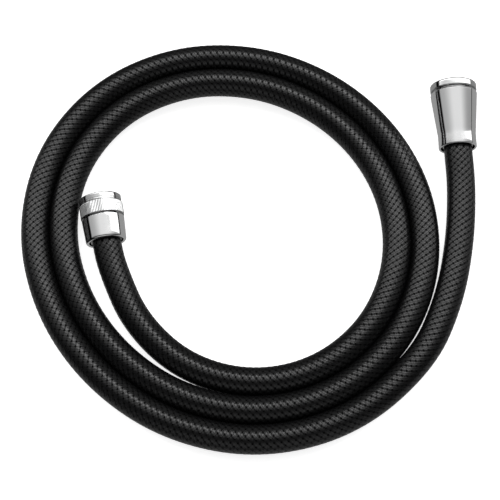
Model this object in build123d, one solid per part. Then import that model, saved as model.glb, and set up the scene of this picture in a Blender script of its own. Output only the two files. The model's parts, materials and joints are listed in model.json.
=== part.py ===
from build123d import *
import os
from math import cos, pi, radians, sin, tan

# A shower supply hose, 1.6 m over its fittings, lying in a flat coil of about two and a half turns.
# All lengths are in millimetres. The hose lies on z = 0, with the coil in the middle of the part.
# Each fitting is turned about its own axis, and depths are measured inwards from its open end.

# Hose layers, as diameters from the water way outwards
BORE_D = 8.0
LINER_D = 11.0
YARN_D = 11.6
JACKET_D = 13.3
HOSE_D = 14.7

# Coil: a spiral that grows by a little over one hose diameter a turn, slightly oval and lobed
COIL_CENTRE = (-8.01, 4.24)
COIL_RADIUS = 84.4
COIL_GROWTH = 14.85
COIL_OVAL = 3.9
COIL_LOBE = 0.5
COIL_FIRST_ANGLE = -84
COIL_STEP = 24
COIL_POINTS = 33

# Each arc of the route takes this share of the shorter run beside it, so a short straight is left
ARC_SHARE = 0.45

# Points of the route from the coil's centre, chosen by hand, on each side of the coil
FLOOR_Z = HOSE_D / 2
FROM_VALVE = [(-65.0, -21.0, 9.6), (-52.0, -50.5, 8.1), (-26.0, -74.5, FLOOR_Z)]
TO_HANDSET = [(110.8, -36.8, FLOOR_Z), (117.8, -5.0, FLOOR_Z), (120.1, 24.8, 8.5)]

# Fittings: the middle of each rear mouth from the coil's centre, and how the axis leans and tilts
VALVE_MOUTH = (-68.5, -6.8, 11.0)
VALVE_LEAN = 10.0
VALVE_TILT = 2.8
VALVE_LENGTH = 24.7
HANDSET_MOUTH = (118.9, 47.3, 10.4)
HANDSET_LEAN = 2.0
HANDSET_TILT = 4.2
HANDSET_LENGTH = 36.5

# Both nuts take a G1/2 pipe thread. The bore is the thread's inner diameter.
THREAD_MINOR_D = 18.63
THREAD_MAJOR_D = 20.96
THREAD_START = 1.2
THREAD_END = 7.6
RELIEF_D = 19.3
SHOULDER_BORE_D = 12.6
REAR_BORE_D = 18.0

# Depths shared by both fittings, from the washer back to the nut's shoulder
WASHER_FACE = 7.7
FLANGE_FACE = 9.3
FLANGE_BACK = 10.7
SLIP_FRONT = 10.75
SLIP_BACK = 11.3
SHOULDER_FRONT = 11.35
SHOULDER_BACK = 12.6
FLANGE_D = 18.0
NECK_D = 11.8

# Broken edges on turned parts
CHAMFER = 0.3
EDGE_ROUND = 0.3
SMALL_ROUND = 0.2

# Valve end: knurled nut and its tail sleeve
RIM_D = 22.3
RIM_BACK = 2.7
RIM_ROUND = 0.6
GROOVE_D = 21.9
GROOVE_WIDTH = 0.3
BEAD_D = 22.2
KNURL_D = 23.0
KNURL_FRONT = 3.9
KNURL_BACK = 11.2
SPIGOT_D = 20.6
SPIGOT_BACK = 15.2
SLEEVE_FRONT = 11.9
SLEEVE_FRONT_D = 22.5
SLEEVE_REAR_D = 21.3
SLEEVE_REAR_ROUND = 1.1
VALVE_HOSE_FACE = 15.0
VALVE_TAIL_BACK = 24.1

# Handset end: conical nut and the swivel inside it
CONE_RIM_D = 25.1
CONE_RIM_BACK = 3.9
CONE_RIM_ROUND = 0.9
CONE_GROOVE_BACK = 4.9
BUSH_D = 22.4
BUSH_BACK = SHOULDER_BACK
CONE_LARGE_D = 25.2
CONE_CHAMFER = 0.9
CONE_SMALL_D = 20.4
CONE_TAPER_BACK = 29.0
CONE_REAR_ROUND = 0.6
CONE_REAR_BORE_D = 18.2
SWIVEL_FRONT = 14.4
SWIVEL_BACK = 24.8
SWIVEL_D = 17.0
SWIVEL_ROUND = 0.5
SWIVEL_BODY_BACK = 23.3
HANDSET_TAIL_BACK = 35.3
SOCKET_D = 11.0
SOCKET_FLOOR = 23.2
JOURNAL_D = 10.9
JOURNAL_FRONT = 13.7
JOURNAL_BACK = 22.8
SNAP_DEPTH = 16.3
SNAP_WIDTH = 1.0
SNAP_D = 12.56
SNAP_BORE_D = 10.2
SNAP_OPENING = 3.6
SNAP_GROOVE_D = 12.6
SNAP_GROOVE_WIDTH = 1.1
SNAP_SEAT_D = 9.8
SNAP_SEAT_WIDTH = 1.5
O_RING_DEPTHS = {"handset_o_ring_front": 18.7, "handset_o_ring_rear": 21.1}
O_RING_WIRE_D = 1.18
O_RING_GROOVE_D = 8.6
O_RING_GROOVE_WIDTH = 1.6
SPINDLE_BORE_D = 6.4

# Hose tails and the sleeves crimped over them
TAIL_D = 8.0
BARB_D = 8.7
BARB_PITCH = 2.7
WATERWAY_D = 6.0
FERRULE_D = 16.1
FERRULE_BORE_D = 14.6
FERRULE_WALL = 0.6
FERRULE_ROUND = 0.4
CRIMPS = 3
CRIMP_WIDTH = 1.6
CRIMP_DEPTH = 0.25

WASHER_D = 18.6
WASHER_BORE_D = 10.0
SLIP_D = 17.6
SLIP_BORE_D = 12.3
STRAINER_D = 11.4
STRAINER_THICKNESS = 0.4
STRAINER_HOLE_D = 1.1
STRAINER_PITCH = 1.7
STRAINER_ROWS = 5


def from_coil(point):
    """A point given from the coil's centre, in the part's own frame."""
    x, y, z = point
    return Vector(x + COIL_CENTRE[0], y + COIL_CENTRE[1], z)


def out_of_mouth(lean, tilt):
    """The direction a fitting's open end points in."""
    level = cos(radians(tilt))
    return Vector(-sin(radians(lean)) * level, cos(radians(lean)) * level, sin(radians(tilt)))


def fitting_plane(mouth, lean, tilt, length):
    """The plane of a fitting's open end, with Z pointing out of it."""
    axis = out_of_mouth(lean, tilt)
    sideways = Vector(cos(radians(lean)), sin(radians(lean)), 0)
    return Plane(origin=from_coil(mouth) + axis * length, x_dir=sideways, z_dir=axis)


def turned(corners):
    """A solid of revolution from (diameter, depth) corners; a third number rounds that corner."""
    outline = [(corner[0] / 2, -corner[1]) for corner in corners]
    face = make_face(Polyline(*outline, close=True))
    for corner, point in zip(corners, outline):
        if len(corner) == 3:
            vertex = face.vertices().sort_by_distance(Vector(*point))[0]
            face = fillet(vertex, corner[2])
    return revolve(Plane.XZ * face, Axis.Z)


def ring(inner_d, outer_d, front, back):
    """A plain ring between two depths."""
    return turned([(inner_d, front), (outer_d, front), (outer_d, back), (inner_d, back)])


# ---- the hose ----


def coil_radius(angle):
    """Distance of the hose's middle from the coil's centre, at an angle in degrees."""
    turn = radians(angle)
    spiral = COIL_RADIUS + COIL_GROWTH * angle / 360
    return spiral - COIL_OVAL * sin(2 * turn) + COIL_LOBE * sin(3 * turn)


def coil_points():
    """Corner points of the coil. They stand outside the spiral, and the arcs between them follow it."""
    points = []
    for number in range(COIL_POINTS):
        angle = COIL_FIRST_ANGLE + COIL_STEP * number
        reach = coil_radius(angle) / cos(radians(COIL_STEP / 2))
        points.append((reach * cos(radians(angle)), reach * sin(radians(angle)), FLOOR_Z))
    return points


def route_points():
    """Every corner of the hose's route, from inside the valve nut to inside the handset cone."""
    inside_valve = out_of_mouth(VALVE_LEAN, VALVE_TILT) * (VALVE_LENGTH - VALVE_HOSE_FACE)
    inside_handset = out_of_mouth(HANDSET_LEAN, HANDSET_TILT) * (HANDSET_LENGTH - SWIVEL_BACK)
    valve = from_coil(VALVE_MOUTH)
    handset = from_coil(HANDSET_MOUTH)
    middle = [from_coil(point) for point in FROM_VALVE + coil_points() + TO_HANDSET]
    return [valve + inside_valve, valve] + middle + [handset, handset + inside_handset]


def corner_radii(points):
    """The largest arc at each corner that leaves a short straight between neighbouring arcs."""
    radii = []
    for before, corner, after in zip(points, points[1:], points[2:]):
        run_in = corner - before
        run_out = after - corner
        turn = radians(run_in.get_angle(run_out))
        radii.append(ARC_SHARE * min(run_in.length, run_out.length) / tan(turn / 2))
    return radii


def hose_path():
    """The line along the middle of the hose: straight runs joined by tangent arcs."""
    points = route_points()
    radii = corner_radii(points)
    print("corner radii", [round(radius) for radius in radii])
    path = FilletPolyline(*points, radius=radii)
    print("hose length", round(path.length, 1))
    return path


def hose_layer(path, inner_d, outer_d):
    """One layer of the hose, swept along its path."""
    across = Plane(origin=path @ 0, z_dir=path % 0)
    section = across * (Circle(outer_d / 2) - Circle(inner_d / 2))
    layer = sweep(section, path=path)
    expected = pi * (outer_d**2 - inner_d**2) / 4 * path.length
    print("layer volume over section times length", round(layer.volume / expected, 4))
    return layer


# ---- hose tails and crimped sleeves ----


def barbed_corners(front, back):
    """Outside corners of a hose tail, with sharp-backed barbs from front to back."""
    corners = []
    depth = back
    while depth - BARB_PITCH > front:
        corners.append((TAIL_D, depth))
        depth -= BARB_PITCH
        corners.append((BARB_D, depth))
    corners.append((TAIL_D, depth))
    return corners[::-1]


def valve_stem():
    """Brass stem: the flange that the washer seals on, the neck that the nut turns on, and the tail."""
    front = [(WATERWAY_D, FLANGE_FACE), (FLANGE_D, FLANGE_FACE, SMALL_ROUND), (FLANGE_D, FLANGE_BACK)]
    neck = [(NECK_D, FLANGE_BACK), (NECK_D, VALVE_HOSE_FACE), (TAIL_D, VALVE_HOSE_FACE)]
    tail = barbed_corners(VALVE_HOSE_FACE, VALVE_TAIL_BACK)
    return turned(front + neck + tail + [(WATERWAY_D, VALVE_TAIL_BACK)])


def ferrule(front, back, lip_bore_d):
    """Crimped sleeve: its lip sits on the neck, and its crimps hold the hose on the barbs."""
    crimp_d = FERRULE_D - 2 * CRIMP_DEPTH
    outside = [(lip_bore_d, front), (FERRULE_D, front, FERRULE_ROUND)]
    space = (back - front - CRIMPS * CRIMP_WIDTH) / (CRIMPS + 1)
    for number in range(CRIMPS):
        start = front + space + number * (space + CRIMP_WIDTH)
        outside += [(FERRULE_D, start), (crimp_d, start)]
        outside += [(crimp_d, start + CRIMP_WIDTH), (FERRULE_D, start + CRIMP_WIDTH)]
    lip_back = front + FERRULE_WALL
    inside = [(FERRULE_BORE_D, back), (FERRULE_BORE_D, lip_back), (lip_bore_d, lip_back)]
    return turned(outside + [(FERRULE_D, back)] + inside)


# ---- parts inside both nuts ----


def nut_inside():
    """Inside corners of a nut from its shoulder's back to its open end."""
    return [
        (SHOULDER_BORE_D, SHOULDER_BACK),
        (SHOULDER_BORE_D, SHOULDER_FRONT),
        (RELIEF_D, SHOULDER_FRONT),
        (RELIEF_D, THREAD_END),
        (THREAD_MINOR_D, THREAD_END),
        (THREAD_MINOR_D, THREAD_START),
        (THREAD_MAJOR_D, 0),
    ]


def washer():
    """Flat rubber sealing washer."""
    return turned(
        [
            (WASHER_BORE_D, WASHER_FACE),
            (WASHER_D, WASHER_FACE, SMALL_ROUND),
            (WASHER_D, FLANGE_FACE),
            (WASHER_BORE_D, FLANGE_FACE),
        ]
    )


def slip_ring():
    """Plastic bearing ring between the flange and the nut's shoulder."""
    return ring(SLIP_BORE_D, SLIP_D, SLIP_FRONT, SLIP_BACK)


# ---- valve end ----


def valve_nut():
    """Knurled brass nut, with its rim, two fine grooves, and the spigot that carries the sleeve."""
    bead_front = RIM_BACK + GROOVE_WIDTH
    bead_back = KNURL_FRONT - GROOVE_WIDTH
    rim = [(RIM_D, 0, RIM_ROUND), (RIM_D, RIM_BACK), (GROOVE_D, RIM_BACK), (GROOVE_D, bead_front)]
    bead = [(BEAD_D, bead_front), (BEAD_D, bead_back), (GROOVE_D, bead_back)]
    band = [
        (GROOVE_D, KNURL_FRONT),
        (KNURL_D - 2 * CHAMFER, KNURL_FRONT),
        (KNURL_D, KNURL_FRONT + CHAMFER),
        (KNURL_D, KNURL_BACK - CHAMFER),
        (KNURL_D - 2 * CHAMFER, KNURL_BACK),
    ]
    spigot = [(SPIGOT_D, KNURL_BACK), (SPIGOT_D, SPIGOT_BACK), (REAR_BORE_D, SPIGOT_BACK)]
    return turned(rim + bead + band + spigot + [(REAR_BORE_D, SHOULDER_BACK)] + nut_inside())


def valve_sleeve():
    """Smooth tail sleeve pressed over the nut's spigot; it covers the crimp."""
    return turned(
        [
            (SPIGOT_D, SLEEVE_FRONT),
            (SLEEVE_FRONT_D - 2 * CHAMFER, SLEEVE_FRONT),
            (SLEEVE_FRONT_D, SLEEVE_FRONT + CHAMFER),
            (SLEEVE_REAR_D, VALVE_LENGTH, SLEEVE_REAR_ROUND),
            (REAR_BORE_D + 2 * CHAMFER, VALVE_LENGTH),
            (REAR_BORE_D, VALVE_LENGTH - CHAMFER),
            (REAR_BORE_D, SPIGOT_BACK),
            (SPIGOT_D, SPIGOT_BACK),
        ]
    )


# ---- handset end ----


def handset_thread_bush():
    """Threaded bush; its flange is the bright rim at the large end of the cone."""
    return turned(
        [
            (CONE_RIM_D, 0, CONE_RIM_ROUND),
            (CONE_RIM_D, CONE_RIM_BACK, EDGE_ROUND),
            (BUSH_D, CONE_RIM_BACK),
            (BUSH_D, BUSH_BACK),
        ]
        + nut_inside()
    )


def handset_cone():
    """Conical cover that drops into a wall holder, with a straight band at its small end."""
    return turned(
        [
            (BUSH_D, CONE_GROOVE_BACK),
            (CONE_LARGE_D - CONE_CHAMFER, CONE_GROOVE_BACK),
            (CONE_LARGE_D, CONE_GROOVE_BACK + CONE_CHAMFER),
            (CONE_SMALL_D, CONE_TAPER_BACK),
            (CONE_SMALL_D, HANDSET_LENGTH, CONE_REAR_ROUND),
            (CONE_REAR_BORE_D + 2 * CHAMFER, HANDSET_LENGTH),
            (CONE_REAR_BORE_D, HANDSET_LENGTH - CHAMFER),
            (CONE_REAR_BORE_D, BUSH_BACK),
            (BUSH_D, BUSH_BACK),
        ]
    )


def groove(depth, width, bottom_d):
    """Corners of a groove round the spindle's journal."""
    front = depth - width / 2
    back = depth + width / 2
    return [(JOURNAL_D, front), (bottom_d, front), (bottom_d, back), (JOURNAL_D, back)]


def handset_spindle():
    """Hollow spindle: the washer seals on its flange, and its journal turns in the swivel body."""
    corners = [(SPINDLE_BORE_D, FLANGE_FACE), (FLANGE_D, FLANGE_FACE, SMALL_ROUND)]
    corners += [(FLANGE_D, FLANGE_BACK)]
    corners += [(NECK_D, FLANGE_BACK), (NECK_D, JOURNAL_FRONT), (JOURNAL_D, JOURNAL_FRONT)]
    corners += groove(SNAP_DEPTH, SNAP_SEAT_WIDTH, SNAP_SEAT_D)
    for depth in O_RING_DEPTHS.values():
        corners += groove(depth, O_RING_GROOVE_WIDTH, O_RING_GROOVE_D)
    corners += [(JOURNAL_D, JOURNAL_BACK), (SPINDLE_BORE_D, JOURNAL_BACK)]
    return turned(corners)


def handset_swivel_body():
    """Swivel body: a socket for the spindle in front, and the barbed hose tail behind."""
    socket = [
        (SOCKET_D, SWIVEL_FRONT),
        (SWIVEL_D, SWIVEL_FRONT, SWIVEL_ROUND),
        (SWIVEL_D, SWIVEL_BODY_BACK),
        (NECK_D, SWIVEL_BODY_BACK),
        (NECK_D, SWIVEL_BACK),
        (TAIL_D, SWIVEL_BACK),
    ]
    tail = barbed_corners(SWIVEL_BACK, HANDSET_TAIL_BACK)
    inside = [(WATERWAY_D, HANDSET_TAIL_BACK), (WATERWAY_D, SOCKET_FLOOR), (SOCKET_D, SOCKET_FLOOR)]
    snap_front = SNAP_DEPTH - SNAP_GROOVE_WIDTH / 2
    snap_back = SNAP_DEPTH + SNAP_GROOVE_WIDTH / 2
    snap_groove = [(SOCKET_D, snap_back), (SNAP_GROOVE_D, snap_back)]
    snap_groove += [(SNAP_GROOVE_D, snap_front), (SOCKET_D, snap_front)]
    return turned(socket + tail + inside + snap_groove)


def handset_snap_ring():
    """Open spring ring in the socket's groove, which keeps the spindle in."""
    whole = ring(SNAP_BORE_D, SNAP_D, SNAP_DEPTH - SNAP_WIDTH / 2, SNAP_DEPTH + SNAP_WIDTH / 2)
    opening = Pos(0, SNAP_D / 2, -SNAP_DEPTH) * Box(SNAP_OPENING, SNAP_D / 2, 2 * SNAP_WIDTH)
    return whole - opening


def o_ring(depth):
    """Rubber ring in one of the spindle's grooves."""
    middle_r = O_RING_GROOVE_D / 2 + O_RING_WIRE_D / 2
    return Pos(0, 0, -depth) * Torus(middle_r, O_RING_WIRE_D / 2)


def handset_washer():
    """Sealing washer with a groove round its bore for the strainer."""
    middle = (WASHER_FACE + FLANGE_FACE) / 2
    half = STRAINER_THICKNESS / 2
    return washer() - ring(SPINDLE_BORE_D, STRAINER_D, middle - half, middle + half)


def handset_strainer():
    """Perforated steel disc that keeps grit out of the handset."""
    middle = (WASHER_FACE + FLANGE_FACE) / 2
    disc = Cylinder(STRAINER_D / 2, STRAINER_THICKNESS)
    places = HexLocations(STRAINER_PITCH / 2, STRAINER_ROWS, STRAINER_ROWS)
    holes = places * Cylinder(STRAINER_HOLE_D / 2, 2 * STRAINER_THICKNESS)
    return Pos(0, 0, -middle) * (disc - holes)


# ---- the whole part ----


def build_parts():
    """Every piece by name, in the part's own frame."""
    path = hose_path()
    valve = fitting_plane(VALVE_MOUTH, VALVE_LEAN, VALVE_TILT, VALVE_LENGTH)
    handset = fitting_plane(HANDSET_MOUTH, HANDSET_LEAN, HANDSET_TILT, HANDSET_LENGTH)
    valve_crimp_front = VALVE_HOSE_FACE - FERRULE_WALL
    handset_crimp_front = SWIVEL_BACK - FERRULE_WALL
    parts = {
        "hose_liner": hose_layer(path, BORE_D, LINER_D),
        "hose_yarn_layer": hose_layer(path, LINER_D, YARN_D),
        "hose_jacket": hose_layer(path, YARN_D, JACKET_D),
        "hose_braid": hose_layer(path, JACKET_D, HOSE_D),
        "valve_stem": valve * valve_stem(),
        "valve_ferrule": valve * ferrule(valve_crimp_front, VALVE_TAIL_BACK, NECK_D),
        "valve_washer": valve * washer(),
        "valve_slip_ring": valve * slip_ring(),
        "valve_nut": valve * valve_nut(),
        "valve_sleeve": valve * valve_sleeve(),
        "handset_swivel_body": handset * handset_swivel_body(),
        "handset_ferrule": handset * ferrule(handset_crimp_front, HANDSET_TAIL_BACK, NECK_D),
        "handset_snap_ring": handset * handset_snap_ring(),
        "handset_spindle": handset * handset_spindle(),
        "handset_washer": handset * handset_washer(),
        "handset_strainer": handset * handset_strainer(),
        "handset_slip_ring": handset * slip_ring(),
        "handset_thread_bush": handset * handset_thread_bush(),
        "handset_cone": handset * handset_cone(),
    }
    for name, depth in O_RING_DEPTHS.items():
        parts[name] = handset * o_ring(depth)
    return parts


def report_frame(parts):
    """Print the part's box and the two open ends, which the record repeats."""
    boxes = [solid.bounding_box() for solid in parts.values()]
    low = [min(tuple(box.min)[i] for box in boxes) for i in range(3)]
    high = [max(tuple(box.max)[i] for box in boxes) for i in range(3)]
    print("box", [round(value, 3) for value in low], [round(value, 3) for value in high])
    for name, mouth, lean, tilt, length in (
        ("valve", VALVE_MOUTH, VALVE_LEAN, VALVE_TILT, VALVE_LENGTH),
        ("handset", HANDSET_MOUTH, HANDSET_LEAN, HANDSET_TILT, HANDSET_LENGTH),
    ):
        open_end = fitting_plane(mouth, lean, tilt, length)
        print(name, "open end", tuple(open_end.origin), "axis", tuple(open_end.z_dir))


os.makedirs("parts", exist_ok=True)
PARTS = build_parts()
report_frame(PARTS)
for name, solid in PARTS.items():
    export_step(solid, f"parts/{name}.step")
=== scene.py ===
"""The looks of a coiled black shower hose with chrome ends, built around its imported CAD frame.

Blender works in metres. A fitting's outline is a list of (diameter, depth) or (diameter, depth, round)
corners in millimetres, and depths are measured inwards from the fitting's open end.
"""
import json
import math

import bpy
import numpy as np
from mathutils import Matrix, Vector


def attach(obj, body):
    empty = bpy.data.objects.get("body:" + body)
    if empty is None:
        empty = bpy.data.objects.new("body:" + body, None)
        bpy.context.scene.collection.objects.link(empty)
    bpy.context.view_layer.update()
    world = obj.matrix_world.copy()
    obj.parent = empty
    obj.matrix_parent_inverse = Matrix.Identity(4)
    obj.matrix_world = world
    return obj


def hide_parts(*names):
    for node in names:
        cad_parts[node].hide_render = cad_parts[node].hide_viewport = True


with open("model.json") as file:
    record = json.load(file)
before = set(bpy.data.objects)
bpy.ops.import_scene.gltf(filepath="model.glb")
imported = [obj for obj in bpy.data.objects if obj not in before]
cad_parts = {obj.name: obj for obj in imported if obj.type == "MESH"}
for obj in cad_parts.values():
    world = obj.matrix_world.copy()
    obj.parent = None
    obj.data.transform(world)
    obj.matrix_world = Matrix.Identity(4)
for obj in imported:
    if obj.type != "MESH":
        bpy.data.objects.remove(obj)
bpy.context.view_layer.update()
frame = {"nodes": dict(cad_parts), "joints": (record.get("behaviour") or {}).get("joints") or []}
MM = 0.001
UP = np.array([0.0, 0.0, 1.0])


# ---- the fittings' places, from the frame's joints ----


class Fitting:
    """Where a fitting is: its open end, its axis pointing out of it, and two directions across it."""

    def __init__(self, spin_joint):
        joint = next(j for j in frame["joints"] if j["name"] == spin_joint)
        self.open_end = np.array(joint["pos_m"])
        self.axis = np.array(joint["axis"]) / np.linalg.norm(joint["axis"])
        across = np.cross(self.axis, UP)
        self.across = across / np.linalg.norm(across)
        self.over = np.cross(self.across, self.axis)

    def at(self, depth):
        """The point on the axis at a depth in metres."""
        return self.open_end - self.axis * depth


VALVE = Fitting("valve_nut_spin")
HANDSET = Fitting("handset_nut_spin")
VALVE_LENGTH = 0.0247
VALVE_HOSE_FACE = 0.0150
HANDSET_LENGTH = 0.0365
HANDSET_HOSE_FACE = 0.0248


# ---- the hose's route, with the same points as in the CAD source ----

CROWN_D = 0.0148  # over the braid's ribs
FLOOR_Z = CROWN_D / 2  # the height of the hose's middle where it lies on the floor
COIL_CENTRE = (-0.00801, 0.00424)
COIL_RADIUS = 0.0844
COIL_GROWTH = 0.01485
COIL_OVAL = 0.0039
COIL_LOBE = 0.0005
COIL_FIRST_ANGLE = -84
COIL_STEP = 24
COIL_POINTS = 33
FROM_VALVE = [(-0.0650, -0.0210, 0.0096), (-0.0520, -0.0505, 0.0081), (-0.0260, -0.0745, FLOOR_Z)]
TO_HANDSET = [(0.1108, -0.0368, FLOOR_Z), (0.1178, -0.0050, FLOOR_Z), (0.1201, 0.0248, 0.0085)]
ROUTE_RESOLUTION = 48


def from_coil(point):
    """A point given from the coil's centre, in the frame."""
    x, y, z = point
    return (x + COIL_CENTRE[0], y + COIL_CENTRE[1], z)


def coil_radius(angle):
    """Distance of the hose's middle from the coil's centre, at an angle in degrees."""
    turn = math.radians(angle)
    spiral = COIL_RADIUS + COIL_GROWTH * angle / 360
    return spiral - COIL_OVAL * math.sin(2 * turn) + COIL_LOBE * math.sin(3 * turn)


def coil_points():
    """Control points of the coil's turns."""
    points = []
    for number in range(COIL_POINTS):
        angle = COIL_FIRST_ANGLE + COIL_STEP * number
        reach = coil_radius(angle) / math.cos(math.radians(COIL_STEP / 2))
        turn = math.radians(angle)
        points.append((reach * math.cos(turn), reach * math.sin(turn), FLOOR_Z))
    return points


def route_points():
    """Every control point of the hose, from inside the valve nut to inside the handset cone."""
    middle = [from_coil(point) for point in FROM_VALVE + coil_points() + TO_HANDSET]
    start = [VALVE.at(VALVE_HOSE_FACE), VALVE.at(VALVE_LENGTH)]
    end = [HANDSET.at(HANDSET_LENGTH), HANDSET.at(HANDSET_HOSE_FACE)]
    return [tuple(point) for point in start + middle + end]


def route_line():
    """Close points down the middle of the hose, read from one NURBS spline along its route."""
    data = bpy.data.curves.new("hose_route", "CURVE")
    data.dimensions = "3D"
    data.resolution_u = ROUTE_RESOLUTION
    points = route_points()
    spline = data.splines.new("NURBS")
    spline.points.add(len(points) - 1)
    for control, place in zip(spline.points, points):
        control.co = (*place, 1.0)
    spline.order_u = 3
    spline.use_endpoint_u = True
    holder = bpy.data.objects.new("hose_route", data)
    mesh = bpy.data.meshes.new_from_object(holder)
    line = np.array([tuple(vertex.co) for vertex in mesh.vertices])
    bpy.data.meshes.remove(mesh)
    bpy.data.objects.remove(holder)
    bpy.data.curves.remove(data)
    return line


def even_frames(line, spacing):
    """Evenly spaced points along a line, with how far along each is and two directions across it."""
    steps = np.linalg.norm(np.diff(line, axis=0), axis=1)
    along = np.concatenate([[0], np.cumsum(steps)])
    count = int(round(along[-1] / spacing)) + 1
    at = np.linspace(0, along[-1], count)
    points = np.stack([np.interp(at, along, line[:, k]) for k in range(3)], axis=1)
    tangent = np.gradient(points, axis=0)
    tangent /= np.linalg.norm(tangent, axis=1)[:, None]
    side = np.cross(tangent, UP)
    side /= np.linalg.norm(side, axis=1)[:, None]
    return points, at, side, np.cross(side, tangent)


# ---- mesh helpers ----

ROUND_STEPS = 5
TURNED_SHARP = 28
HOSE_SHARP = 70
PLAIN_STEP = 1.5  # longest step along a fitting's outline, in millimetres
THREAD_STEP = 0.3
PLAIN_SEGMENTS = 180
HANDSET_SEGMENTS = 240


def ring_faces(rows, columns):
    """Faces of a grid whose rows and columns both close on themselves."""
    row, column = np.meshgrid(np.arange(rows), np.arange(columns), indexing="ij")
    row_after = (row + 1) % rows
    column_after = (column + 1) % columns
    corners = [
        row_after * columns + column,
        row_after * columns + column_after,
        row * columns + column_after,
        row * columns + column,
    ]
    return np.stack(corners, axis=-1).reshape(-1, 4)


def make_mesh(name, points, faces, sharp_angle):
    """A linked mesh object of four-sided faces, smooth but at edges sharper than an angle in degrees."""
    mesh = bpy.data.meshes.new(name)
    mesh.vertices.add(len(points))
    mesh.vertices.foreach_set("co", np.asarray(points, np.float32).ravel())
    mesh.loops.add(len(faces) * 4)
    mesh.loops.foreach_set("vertex_index", np.asarray(faces, np.int32).ravel())
    mesh.polygons.add(len(faces))
    mesh.polygons.foreach_set("loop_start", np.arange(0, len(faces) * 4, 4, dtype=np.int32))
    mesh.update(calc_edges=True)
    mesh.validate()
    mesh.shade_smooth()
    mesh.set_sharp_from_angle(angle=math.radians(sharp_angle))
    piece = bpy.data.objects.new(name, mesh)
    bpy.context.scene.collection.objects.link(piece)
    return piece


def arc_corner(before, corner, after, size):
    """Points that round one corner of an outline with an arc of that radius."""
    p, c, q = (np.array(point, float) for point in (before, corner, after))
    into = (p - c) / np.linalg.norm(p - c)
    out = (q - c) / np.linalg.norm(q - c)
    half = math.acos(np.clip(into @ out, -1, 1)) / 2
    reach = size / math.tan(half)
    middle = c + (into + out) / np.linalg.norm(into + out) * size / math.sin(half)
    first = c + into * reach - middle
    last = c + out * reach - middle
    turn = math.pi - 2 * half
    points = []
    for share in np.linspace(0, 1, ROUND_STEPS + 1):
        blend = math.sin((1 - share) * turn) * first + math.sin(share * turn) * last
        points.append(tuple(middle + blend / math.sin(turn)))
    return points


def outline_points(corners, longest):
    """(radius, depth) points round a closed outline, with no step longer than the given length."""
    flat = [(corner[0] / 2, corner[1]) for corner in corners]
    shaped = []
    for number, corner in enumerate(corners):
        if len(corner) == 3:
            before = flat[number - 1]
            after = flat[(number + 1) % len(flat)]
            shaped += arc_corner(before, flat[number], after, corner[2])
        else:
            shaped.append(flat[number])
    points = []
    for start, end in zip(shaped, shaped[1:] + shaped[:1]):
        start = np.array(start)
        end = np.array(end)
        pieces = max(1, math.ceil(math.dist(start, end) / longest))
        points += [tuple(start + (end - start) * step / pieces) for step in range(pieces)]
    return np.array(points)


def turned(name, fitting, corners, longest=PLAIN_STEP, segments=PLAIN_SEGMENTS, relief=None):
    """A solid turned about a fitting's axis. relief moves its radii, given radius, depth and angle."""
    outline = outline_points(corners, longest)
    angle = np.arange(segments)[None, :] * 2 * math.pi / segments
    radius = np.repeat(outline[:, :1], segments, axis=1)
    depth = outline[:, 1:]
    if relief is not None:
        radius = relief(radius, depth, angle)
    radius = radius[:, :, None] * MM
    across = fitting.across * np.cos(angle)[:, :, None] + fitting.over * np.sin(angle)[:, :, None]
    points = fitting.open_end - fitting.axis * (depth[:, :, None] * MM) + across * radius
    return make_mesh(name, points.reshape(-1, 3), ring_faces(len(outline), segments), TURNED_SHARP)


# ---- the hose's layers ----

STARTS = 12  # strands wound each way
BRAID_PITCH = 0.0035
SAMPLES = 4  # mesh points to a strand
BRAID_BORE = 0.01335
SIDE_BULGE = 0.0002
LEAD_GROOVE = 0.00024
CROSS_GROOVE = 0.00009
PIT = 0.00010
PLAIN_SPACING = 0.0060
PLAIN_AROUND = 24


def groove(phase):
    """1 in the middle of the groove between two strands or ribs, 0 on a crown."""
    return (2 * np.abs(phase - np.round(phase))) ** 3


def tube_points(line, spacing, around, radius_at):
    """Points of a tube along a line; radius_at gives radii from lengths along and shares of a turn."""
    points, at, side, over = even_frames(line, spacing)
    share = np.arange(around) / around
    radius = radius_at(at[:, None], share[None, :])[:, :, None]
    turn = 2 * math.pi * share[None, :, None]
    across = over[:, None, :] * np.cos(turn) + side[:, None, :] * np.sin(turn)
    return points[:, None, :] + across * radius


def plain_radius(diameter):
    """What tube_points needs for a plain round wall."""
    return lambda along, share: np.full(np.broadcast(along, share).shape, diameter / 2)


def braid_radius(along, share):
    """The braid's outer radius: ribs wound one way, crossed by fainter grooves, with pits between.

    The hose is a little wider than it is high, because it lies on its side against the next turn.
    """
    lead = groove(STARTS * share - along / BRAID_PITCH)
    cross = groove(STARTS * share + along / BRAID_PITCH)
    bulge = SIDE_BULGE * np.abs(np.sin(2 * math.pi * share))
    return CROWN_D / 2 + bulge - LEAD_GROOVE * lead - CROSS_GROOVE * cross - PIT * lead * cross


def layer(name, line, inner_d, outer_at, spacing, around):
    """One closed layer of the hose, and how many rows of points its outer and inner walls have."""
    outer = tube_points(line, spacing, around, outer_at)
    inner = tube_points(line, PLAIN_SPACING, around, plain_radius(inner_d))
    walls = np.concatenate([outer, inner[::-1]])
    piece = make_mesh(name, walls.reshape(-1, 3), ring_faces(len(walls), around), HOSE_SHARP)
    return piece, len(outer), len(inner)


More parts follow.
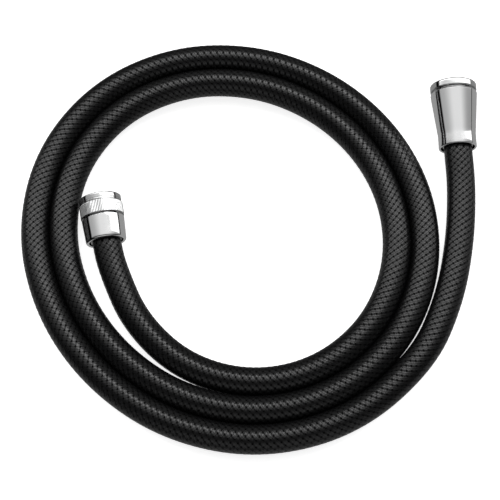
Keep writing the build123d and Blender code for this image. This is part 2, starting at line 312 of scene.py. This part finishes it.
def weave_map(piece, rows_out, rows_in, around):
    """A UV map that counts strands: across, starts round the hose; along, braid pitches."""
    rows = rows_out + rows_in
    row, column = np.meshgrid(np.arange(rows), np.arange(around), indexing="ij")
    pitches_in = (rows - 1 - row) * PLAIN_SPACING / BRAID_PITCH
    pitches = np.where(row < rows_out, row / SAMPLES, pitches_in)
    pitches_after = np.roll(pitches, -1, axis=0)
    starts = column * STARTS / around
    starts_after = (column + 1) * STARTS / around
    corners = [
        (starts, pitches_after),
        (starts_after, pitches_after),
        (starts_after, pitches),
        (starts, pitches),
    ]
    values = np.stack([np.stack(corner, axis=-1) for corner in corners], axis=2)
    layer_map = piece.data.uv_layers.new(name="weave")
    layer_map.data.foreach_set("uv", values.astype(np.float32).ravel())


# ---- shader helpers ----


class Nodes:
    """A node tree under construction, starting empty."""

    def __init__(self, tree):
        self.tree = tree
        tree.nodes.clear()

    def node(self, kind):
        """A new node."""
        return self.tree.nodes.new("ShaderNode" + kind)

    def put(self, socket, value):
        """Give a socket a link or a plain value."""
        if isinstance(value, bpy.types.NodeSocket):
            self.tree.links.new(value, socket)
        else:
            socket.default_value = value

    def math(self, operation, first, second=0.0, third=0.0, clamp=False):
        """One step of arithmetic on up to three values."""
        node = self.node("Math")
        node.operation = operation
        node.use_clamp = clamp
        for socket, value in zip(node.inputs, (first, second, third)):
            self.put(socket, value)
        return node.outputs[0]

    def plus(self, first, second, clamp=False):
        return self.math("ADD", first, second, clamp=clamp)

    def minus(self, first, second):
        return self.math("SUBTRACT", first, second)

    def times(self, first, second):
        return self.math("MULTIPLY", first, second)

    def spread(self, value, low, high, to_low=0.0, to_high=1.0):
        """A value taken smoothly from one range to another."""
        node = self.node("MapRange")
        node.interpolation_type = "SMOOTHSTEP"
        for socket, given in zip(node.inputs, (value, low, high, to_low, to_high)):
            self.put(socket, given)
        return node.outputs[0]

    def split(self, vector):
        """A vector's three parts."""
        node = self.node("SeparateXYZ")
        self.put(node.inputs[0], vector)
        return node.outputs[0], node.outputs[1], node.outputs[2]

    def mix(self, factor, first, second):
        """A colour between two."""
        node = self.node("Mix")
        node.data_type = "RGBA"
        self.put(node.inputs[0], factor)
        for socket, colour in ((node.inputs[6], first), (node.inputs[7], second)):
            self.put(socket, (*colour, 1.0) if isinstance(colour, tuple) else colour)
        return node.outputs[2]

    def noise(self, size, detail):
        """Noise in the piece's own frame, with features of about that size in metres."""
        node = self.node("TexNoise")
        self.put(node.inputs["Vector"], self.node("TexCoord").outputs["Object"])
        node.inputs["Scale"].default_value = 1 / size
        node.inputs["Detail"].default_value = detail
        return node.outputs["Fac"]

    def bump(self, height, distance, strength=1.0):
        """A normal from a height."""
        node = self.node("Bump")
        node.inputs["Strength"].default_value = strength
        node.inputs["Distance"].default_value = distance
        self.put(node.inputs["Height"], height)
        return node.outputs[0]


class Shader(Nodes):
    """A node material under construction, ending in one Principled shader."""

    def __init__(self, name):
        self.material = bpy.data.materials.new(name)
        self.material.use_nodes = True
        super().__init__(self.material.node_tree)
        self.surface = self.node("BsdfPrincipled")
        self.put(self.node("OutputMaterial").inputs["Surface"], self.surface.outputs[0])

    def set(self, **sockets):
        """Set the Principled shader's sockets; underscores stand for spaces."""
        for name, value in sockets.items():
            wanted = name.replace("_", " ")
            socket = next(s for s in self.surface.inputs if s.name.lower() == wanted.lower())
            self.put(socket, (*value, 1.0) if isinstance(value, tuple) and len(value) == 3 else value)
        return self.material


# ---- materials ----

YARNS = 4  # fine yarns to a strand
BRAID_BUMP = 0.00008
BLACK = (0.001, 0.001, 0.001)
WHITE = (1.0, 1.0, 1.0)
# The dark grey of the painted shade in chrome creases.
CREASE_SHADE_GREY = (0.05, 0.05, 0.05)


def braid_material():
    """Black nylon braid: round glossy ribs of fine yarn, with grooves and pits between them that are
    darkened by painted shade.
    """
    s = Shader("black_nylon_braid")
    pattern = s.node("UVMap")
    pattern.uv_map = "weave"
    starts, pitches, _ = s.split(pattern.outputs[0])
    lead = s.minus(starts, pitches)
    cross = s.plus(starts, pitches)

    def from_crown(phase):
        """0 on a strand's crown, 1 in the middle of the groove beside it."""
        return s.times(s.math("ABSOLUTE", s.minus(phase, s.math("ROUND", phase))), 2.0)

    lead_groove = s.spread(from_crown(lead), 0.4, 0.95)
    cross_groove = s.spread(from_crown(cross), 0.5, 0.95)
    pit = s.times(s.spread(from_crown(lead), 0.4, 0.9), cross_groove)
    yarns = s.math("ABSOLUTE", s.math("SINE", s.times(lead, YARNS * math.pi)))
    height = s.minus(s.times(yarns, 0.35), lead_groove)
    height = s.minus(height, s.times(cross_groove, 0.4))
    height = s.minus(height, s.times(pit, 0.8))
    # Painted shade: the grooves and pits darken the base colour towards black and cut the specular tint.
    painted_groove_shade = s.plus(s.times(lead_groove, 0.5), s.times(cross_groove, 0.22))
    painted_groove_shade = s.plus(painted_groove_shade, s.times(pit, 0.5), clamp=True)
    worn = s.noise(0.02, 2.0)
    pale = s.mix(worn, (0.005, 0.005, 0.0052), (0.008, 0.008, 0.0083))
    fuzz = s.noise(0.0005, 2.0)
    # The specular tint is cut by the painted shade in the grooves and, at random, by fibre fuzz.
    groove_shade_and_fuzz_dulling = s.plus(painted_groove_shade, s.spread(fuzz, 0.35, 0.65, 0.3, 0.0), clamp=True)
    rough = s.plus(s.spread(fuzz, 0.3, 0.7, 0.2, 0.12), s.times(painted_groove_shade, 0.25))
    return s.set(
        Base_Color=s.mix(painted_groove_shade, pale, BLACK),
        Roughness=rough,
        Specular_Tint=s.mix(groove_shade_and_fuzz_dulling, WHITE, (0.06, 0.06, 0.06)),
        Specular_IOR_Level=0.46,
        Normal=s.bump(height, BRAID_BUMP),
    )


def chrome_material(name, base, painted_crease_shade=0.0):
    """Polished chrome plate with the faint uneven gloss of a handled fitting.

    base is how much it reflects, and the last argument is how much of that its creases lose to painted
    shade.
    """
    s = Shader(name)
    handled = s.noise(0.006, 4.0)
    fine = s.noise(0.0007, 2.0)
    rough = s.plus(s.spread(handled, 0.35, 0.7, 0.05, 0.10), s.times(fine, 0.02))
    cooler = (base - 0.02, base - 0.015, base - 0.01)
    warmer = (base + 0.02, base + 0.02, base + 0.015)
    colour = s.mix(handled, cooler, warmer)
    # Painted shade: the creases, found by pointiness, are darkened towards a dark grey.
    if painted_crease_shade:
        crease = s.node("NewGeometry").outputs["Pointiness"]
        colour = s.mix(s.spread(crease, 0.42, 0.52, painted_crease_shade, 0.0), colour, CREASE_SHADE_GREY)
    return s.set(Base_Color=colour, Metallic=1.0, Roughness=rough, Normal=s.bump(handled, 0.00002, 0.3))


def turned_metal(name, colour, low, high):
    """A turned metal surface with fine tool marks, its roughness from low to high."""
    s = Shader(name)
    marks = s.noise(0.0004, 3.0)
    cloud = s.noise(0.004, 3.0)
    darker = tuple(channel * 0.8 for channel in colour)
    return s.set(
        Base_Color=s.mix(cloud, darker, colour),
        Metallic=1.0,
        Roughness=s.spread(marks, 0.3, 0.7, low, high),
        Normal=s.bump(marks, 0.00003, 0.5),
    )


def moulded(name, colour, rough, grain):
    """A moulded rubber or plastic surface with a grain of that size in metres."""
    s = Shader(name)
    fine = s.noise(grain, 3.0)
    cloud = s.noise(grain * 12, 2.0)
    darker = tuple(channel * 0.75 for channel in colour)
    return s.set(
        Base_Color=s.mix(cloud, darker, colour),
        Roughness=s.spread(fine, 0.3, 0.7, rough, rough + 0.12),
        Normal=s.bump(fine, grain * 0.1, 0.6),
    )


# ---- fittings, in millimetres ----

THREAD_MINOR = 18.63 / 2
THREAD_MAJOR = 20.96 / 2
THREAD_PITCH = 1.814
THREAD_SPAN = (0.9, 7.5)
THREAD_FADE = 0.7
KNURL_RIBS = 84
KNURL_STEPS = 5  # mesh points to a rib
KNURL_SPAN = (3.9, 11.2)
KNURL_R = 11.5
KNURL_CUT = 0.26
BEHIND_THREAD = 0.6  # a wall this much wider than the thread is on the outside
THREAD_MOUTH = [(12.6, 12.6, 0.1), (12.6, 11.35, 0.1), (19.3, 11.35, 0.2), (19.3, 7.6), (18.63, 7.6)]
THREAD_MOUTH += [(18.63, 1.2), (20.96, 0, 0.1)]


def threaded(radius, depth, angle):
    """Cut the pipe thread's grooves into a bore's wall."""
    phase = depth / THREAD_PITCH + angle / (2 * math.pi)
    wave = 0.5 - 0.5 * np.cos(2 * math.pi * phase)
    cut = np.clip(wave * 1.3 - 0.15, 0, 1)
    start, end = THREAD_SPAN
    fade = np.clip((depth - start) / THREAD_FADE, 0, 1) * np.clip((end - depth) / THREAD_FADE, 0, 1)
    in_bore = (radius < THREAD_MAJOR) & (depth < end) & (depth > start)
    bored = np.maximum(radius, THREAD_MINOR + (THREAD_MAJOR - THREAD_MINOR) * cut * fade)
    return np.where(in_bore, bored, radius)


def knurled_and_threaded(radius, depth, angle):
    """The thread inside, and straight ribs round the band outside."""
    radius = threaded(radius, depth, angle)
    rib = groove(angle * KNURL_RIBS / (2 * math.pi))
    start, end = KNURL_SPAN
    on_band = (radius > THREAD_MAJOR + BEHIND_THREAD) & (depth >= start) & (depth <= end)
    return np.where(on_band, np.minimum(radius, KNURL_R - KNURL_CUT * rib), radius)


def valve_nut():
    """Knurled nut with its rim, two fine grooves and the spigot under the sleeve."""
    corners = [(22.3, 0, 0.6), (22.3, 2.7, 0.08), (21.9, 2.8), (21.9, 3.0), (22.2, 3.05, 0.06)]
    corners += [(22.2, 3.6, 0.06), (21.9, 3.65), (21.9, 3.9), (22.4, 3.9), (23.0, 4.25), (23.0, 10.85)]
    corners += [(22.4, 11.2), (20.6, 11.2), (20.6, 15.2), (18.0, 15.2), (18.0, 12.6)]
    segments = KNURL_RIBS * KNURL_STEPS
    return turned("nut_shell", VALVE, corners + THREAD_MOUTH, THREAD_STEP, segments, knurled_and_threaded)


def valve_sleeve():
    """Smooth sleeve behind the knurl."""
    corners = [(20.6, 11.9), (21.9, 11.9, 0.1), (22.5, 12.2, 0.15), (21.3, 24.7, 1.1), (18.6, 24.7, 0.12)]
    corners += [(18.0, 24.4, 0.1), (18.0, 15.25), (20.6, 15.25)]
    return turned("sleeve_shell", VALVE, corners)


def handset_bush():
    """Threaded bush whose flange is the bright rim of the cone."""
    corners = [(25.1, 0, 0.9), (25.1, 3.9, 0.3), (22.4, 3.9), (22.4, 12.6)]
    return turned("bush_shell", HANDSET, corners + THREAD_MOUTH, THREAD_STEP, HANDSET_SEGMENTS, threaded)


def handset_cone():
    """Conical cover with a straight band at its small end."""
    corners = [(22.4, 4.9), (24.3, 4.9, 0.08), (25.2, 5.8, 0.25), (20.4, 29.0), (20.4, 36.5, 0.6)]
    corners += [(18.8, 36.5, 0.1), (18.2, 36.2, 0.1), (18.2, 12.65), (22.4, 12.65)]
    return turned("cone_shell", HANDSET, corners, segments=HANDSET_SEGMENTS)


# ---- building the object ----

LINE = route_line()
BRAID_MATERIAL = braid_material()
CHROME = chrome_material("polished_chrome", 0.78)
DULLER_CHROME = chrome_material("turned_chrome", 0.58)
# The knurled nut's creases get painted shade.
KNURLED_CHROME = chrome_material("knurled_chrome", 0.62, 0.8)
BRASS = turned_metal("turned_brass", (0.62, 0.42, 0.16), 0.22, 0.38)
STEEL = turned_metal("crimped_steel", (0.55, 0.55, 0.54), 0.25, 0.42)
RUBBER = moulded("washer_rubber", (0.035, 0.035, 0.036), 0.62, 0.0004)
ACETAL = moulded("white_acetal", (0.72, 0.71, 0.68), 0.42, 0.0005)
JACKET = moulded("black_jacket_pvc", (0.02, 0.02, 0.021), 0.4, 0.0006)
YARN = moulded("white_reinforcing_yarn", (0.68, 0.67, 0.63), 0.7, 0.0004)
LINER = moulded("grey_liner_rubber", (0.12, 0.12, 0.12), 0.5, 0.0006)
NODE_MATERIALS = {
    "valve_stem": BRASS,
    "handset_swivel_body": BRASS,
    "handset_spindle": BRASS,
    "valve_ferrule": STEEL,
    "handset_ferrule": STEEL,
    "handset_snap_ring": STEEL,
    "handset_strainer": STEEL,
    "valve_washer": RUBBER,
    "handset_washer": RUBBER,
    "handset_o_ring_front": RUBBER,
    "handset_o_ring_rear": RUBBER,
    "valve_slip_ring": ACETAL,
    "handset_slip_ring": ACETAL,
}
for node, material in NODE_MATERIALS.items():
    for holder in frame["nodes"][node].material_slots:
        holder.material = material


def add_piece(piece, body, node, material):
    """Give a new piece its material and its body, and hide the CAD node that it stands for."""
    piece.data.materials.append(material)
    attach(piece, body)
    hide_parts(node)
    return piece


def build_braid():
    """The braid with its relief."""
    around = STARTS * SAMPLES
    spacing = BRAID_PITCH / SAMPLES
    braid, rows_out, rows_in = layer("braid_cover", LINE, BRAID_BORE, braid_radius, spacing, around)
    weave_map(braid, rows_out, rows_in, around)
    return add_piece(braid, "hose", "hose_braid", BRAID_MATERIAL)


def build_inner_tube(name, node, inner_d, outer_d, material):
    """One plain layer under the braid."""
    tube, _, _ = layer(name, LINE, inner_d, plain_radius(outer_d), PLAIN_SPACING, PLAIN_AROUND)
    return add_piece(tube, "hose", node, material)


BRAID = build_braid()
INNER_TUBES = [
    build_inner_tube("jacket_tube", "hose_jacket", 0.01163, 0.0133, JACKET),
    build_inner_tube("yarn_tube", "hose_yarn_layer", 0.01103, 0.0116, YARN),
    build_inner_tube("liner_tube", "hose_liner", 0.0080, 0.0110, LINER),
]
SHELLS = [
    add_piece(valve_nut(), "valve_nut", "valve_nut", KNURLED_CHROME),
    add_piece(valve_sleeve(), "valve_nut", "valve_sleeve", CHROME),
    add_piece(handset_bush(), "handset_nut", "handset_thread_bush", DULLER_CHROME),
    add_piece(handset_cone(), "handset_nut", "handset_cone", CHROME),
]


# ---- floor, light and camera ----

FLOOR_SIZE = 3.0
FLOOR_GLOW = 0.8
# (direction, brightness) of the studio, from the near side, -1, over the top, 0, to the far side, 1
SKY = [(-1.0, 0.6), (-0.85, 0.75), (-0.74, 0.6), (-0.6, 0.14), (-0.25, 0.06), (-0.1, 0.3)]
SKY += [(0.0, 1.1), (0.15, 1.15), (0.29, 1.25), (0.375, 6.5), (0.48, 6.8), (0.56, 1.6), (0.68, 0.35)]
SKY += [(0.87, 0.3), (1.0, 0.3)]
SKY_TOP = 7.0  # a colour ramp holds levels up to 1, so they are kept as shares of this
CAMERA_ELEVATION = 70
CAMERA_DISTANCE = 0.75
CAMERA_LENS = 101.4
CAMERA_AIM = Vector((-0.00113, -0.00291, 0.0))


def add_floor():
    """A plain white floor. Gloss doesn't see it: reflections of what is below come from the studio."""
    corners = [(x * FLOOR_SIZE, y * FLOOR_SIZE, 0) for x, y in ((-1, -1), (1, -1), (1, 1), (-1, 1))]
    mesh = bpy.data.meshes.new("floor")
    mesh.from_pydata(corners, [], [(0, 1, 2, 3)])
    floor = bpy.data.objects.new("floor", mesh)
    floor.visible_glossy = False
    bpy.context.scene.collection.objects.link(floor)
    paint = Shader("white_floor").set(
        Base_Color=(0.9, 0.9, 0.9),
        Roughness=0.9,
        Emission_Color=WHITE,
        Emission_Strength=FLOOR_GLOW,
    )
    mesh.materials.append(paint)


def sky_ramp(world, y):
    """The studio's brightness from front to back, read from SKY."""
    ramp = world.node("ValToRGB")
    ramp.color_ramp.interpolation = "EASE"
    stops = ramp.color_ramp.elements
    for place, _ in SKY[1:-1]:
        stops.new((place + 1) / 2)
    for stop, (_, level) in zip(stops, SKY):
        stop.color = (level / SKY_TOP, level / SKY_TOP, level / SKY_TOP, 1.0)
    world.put(ramp.inputs[0], world.math("MULTIPLY_ADD", y, 0.5, 0.5))
    return world.times(ramp.outputs[0], SKY_TOP)


def add_studio():
    """A studio with a long soft light overhead, behind the zenith, and a dim table below."""
    studio = bpy.data.worlds.new("studio")
    bpy.context.scene.world = studio
    studio.use_nodes = True
    s = Nodes(studio.node_tree)
    background = s.node("Background")
    s.put(s.node("OutputWorld").inputs["Surface"], background.outputs[0])
    x, y, z = s.split(s.node("TexCoord").outputs["Generated"])
    # The sky fades towards both sides, and ends in a dark gap over the horizon that is wider at the left
    sky = s.times(sky_ramp(s, y), s.spread(x, -1.0, -0.2, 0.5, 1.0))
    sky = s.times(sky, s.spread(x, 0.3, 1.0, 1.0, 0.38))
    edge = s.spread(x, -0.6, 0.6, 0.26, 0.06)
    sky = s.times(sky, s.spread(z, s.times(edge, 0.5), edge))
    table = s.spread(y, 0.5, 0.95, 0.45, 0.1)
    below = s.spread(z, s.times(edge, -0.6), s.times(edge, -0.4), 1.0, 0.0)
    s.put(background.inputs["Strength"], s.plus(sky, s.times(table, below)))


def add_camera():
    """The camera, high over the near side and looking at the coil's middle."""
    camera = bpy.data.cameras.new("camera")
    camera.lens = CAMERA_LENS
    holder = bpy.data.objects.new("camera", camera)
    bpy.context.scene.collection.objects.link(holder)
    rise = math.radians(CAMERA_ELEVATION)
    back = Vector((0, -math.cos(rise), math.sin(rise)))
    holder.location = CAMERA_AIM + back * CAMERA_DISTANCE
    holder.rotation_mode = "QUATERNION"
    holder.rotation_quaternion = (-back).to_track_quat("-Z", "Y")
    bpy.context.scene.camera = holder


add_floor()
add_studio()
add_camera()
bpy.context.scene.view_settings.view_transform = "Standard"
